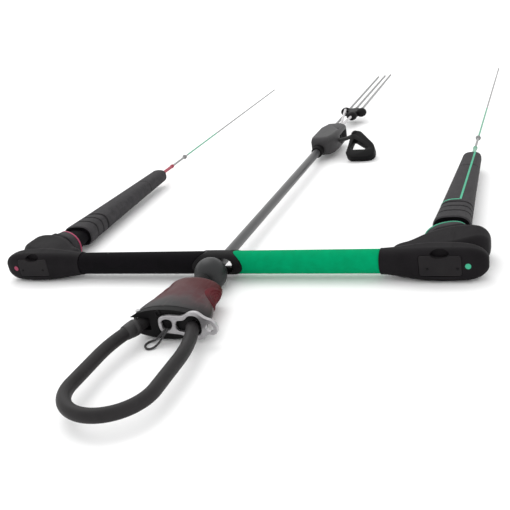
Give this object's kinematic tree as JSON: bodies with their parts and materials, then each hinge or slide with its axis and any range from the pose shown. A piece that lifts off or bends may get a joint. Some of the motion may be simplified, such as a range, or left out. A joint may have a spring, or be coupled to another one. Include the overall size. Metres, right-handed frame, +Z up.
{
  "type": "kitesurf control bar",
  "caption": "Kitesurf control bar: padded grip with winding horns and floats, depower tube with trim cleat and toggle, push-away release, harness loop and taut lines.",
  "frame": {"origin": "on the floor, under the middle of the rectangle that the bar, the loop and the line spreader cover", "axes": "+X along the bar to the green (right-hand) end, +Y along the lines towards the kite, +Z up"},
  "size_m": [0.5818, 1.2754, 0.0383],
  "materials": {
    "bar_tube": "satin",
    "grip_left": "matte",
    "grip_right": "matte",
    "black_plastic": "matte",
    "end_plastic": "matte",
    "red_plastic": "matte",
    "green_plastic": "matte",
    "float_foam": "matte",
    "release_red": "satin",
    "pad_red": "matte",
    "steel": "satin",
    "loop_rubber": "matte",
    "tube_grey": "satin",
    "cleat_grey": "satin",
    "rope_grey": "woven",
    "rope_red": "woven",
    "rope_green": "woven",
    "rope_black": "woven"
  },
  "bodies": {
    "depower_line": {"depower_tube": "tube_grey", "core_rope": "rope_grey", "swivel_ball": "black_plastic", "swivel_shaft": "steel", "cleat_housing": "cleat_grey", "cleat_jaw": "black_plastic", "cleat_pin": "steel", "cleat_collar": "black_plastic", "toggle_cord": "rope_black", "toggle_ball": "black_plastic", "safety_line": "rope_grey"},
    "bar": {"bar_tube_left": "bar_tube", "bar_tube_right": "bar_tube", "grip_left": "grip_left", "grip_right": "grip_right", "centre_insert": "black_plastic", "bar_end_left": "end_plastic", "bar_end_right": "end_plastic", "marker_left": "red_plastic", "marker_right": "green_plastic", "float_ring_left": "red_plastic", "float_ring_right": "green_plastic", "float_neck_left": "float_foam", "float_neck_right": "float_foam"},
    "swivel": {"release_core": "black_plastic", "swivel_neck": "black_plastic", "swivel_bearing": "steel", "anchor_pin": "steel", "release_spring": "steel"},
    "release_grip": {"release_sleeve": "release_red", "thumb_pad_left": "pad_red", "thumb_pad_right": "pad_red"},
    "loop": {"loop_tube": "loop_rubber", "loop_boot": "loop_rubber", "loop_plate": "steel", "catch_pin": "steel", "leash_cord": "rope_black"},
    "toggle": {"toggle_handle": "black_plastic"},
    "front_lines": {"spreader_web": "black_plastic", "spreader_beads": "black_plastic", "trim_rope": "rope_grey", "front_line_left": "rope_grey", "front_line_right": "rope_grey"},
    "left_adjuster": {"adjuster_left": "end_plastic"},
    "right_adjuster": {"adjuster_right": "end_plastic"},
    "left_float": {"float_left": "float_foam", "float_tip_left": "float_foam", "leader_sleeve_left": "rope_red", "leader_left": "rope_grey", "steering_line_left": "rope_grey"},
    "right_float": {"float_right": "float_foam", "float_tip_right": "float_foam", "float_stripe_right": "green_plastic", "leader_sleeve_right": "rope_green", "leader_right": "rope_grey", "steering_line_right": "rope_grey"}
  },
  "joints": [
    {"name": "bar_slide", "type": "slide", "parent": "depower_line", "child": "bar", "axis": [0, 1, 0], "range_m": [0, 0.38]},
    {"name": "swivel_spin", "type": "hinge", "parent": "depower_line", "child": "swivel", "pos_m": [0, -0.27475, 0.0185], "axis": [0, 1, 0], "continuous": true},
    {"name": "release_slide", "type": "slide", "parent": "swivel", "child": "release_grip", "axis": [0, 1, 0], "range_m": [0, 0.012], "stiffness_N_per_m": 800, "springref_m": -0.004},
    {"name": "loop_swing", "type": "hinge", "parent": "swivel", "child": "loop", "pos_m": [-0.0315, -0.32775, 0.0185], "axis": [0, 0, 1], "range_deg": [-40, 0]},
    {"name": "toggle_swing", "type": "hinge", "parent": "depower_line", "child": "toggle", "pos_m": [0.054, 0.26525, 0.0315], "axis": [0.9962, -0.0872, 0], "range_deg": [-120, 0]},
    {"name": "trim_slide", "type": "slide", "parent": "depower_line", "child": "front_lines", "axis": [0, 1, 0], "range_m": [-0.02, 0.03]},
    {"name": "adjuster_slide_left", "type": "slide", "parent": "bar", "child": "left_adjuster", "axis": [0, -1, 0], "range_m": [0, 0.008], "stiffness_N_per_m": 400, "springref_m": -0.003},
    {"name": "adjuster_slide_right", "type": "slide", "parent": "bar", "child": "right_adjuster", "axis": [0, -1, 0], "range_m": [0, 0.008], "stiffness_N_per_m": 400, "springref_m": -0.003},
    {"name": "float_bend_left", "type": "hinge", "parent": "bar", "child": "left_float", "pos_m": [-0.245, -0.09775, 0.0185], "axis": [0, 0, 1], "range_deg": [-12, 12], "stiffness_Nm_per_rad": 2},
    {"name": "float_bend_right", "type": "hinge", "parent": "bar", "child": "right_float", "pos_m": [0.245, -0.09775, 0.0185], "axis": [0, 0, 1], "range_deg": [-12, 12], "stiffness_Nm_per_rad": 2}
  ]
}
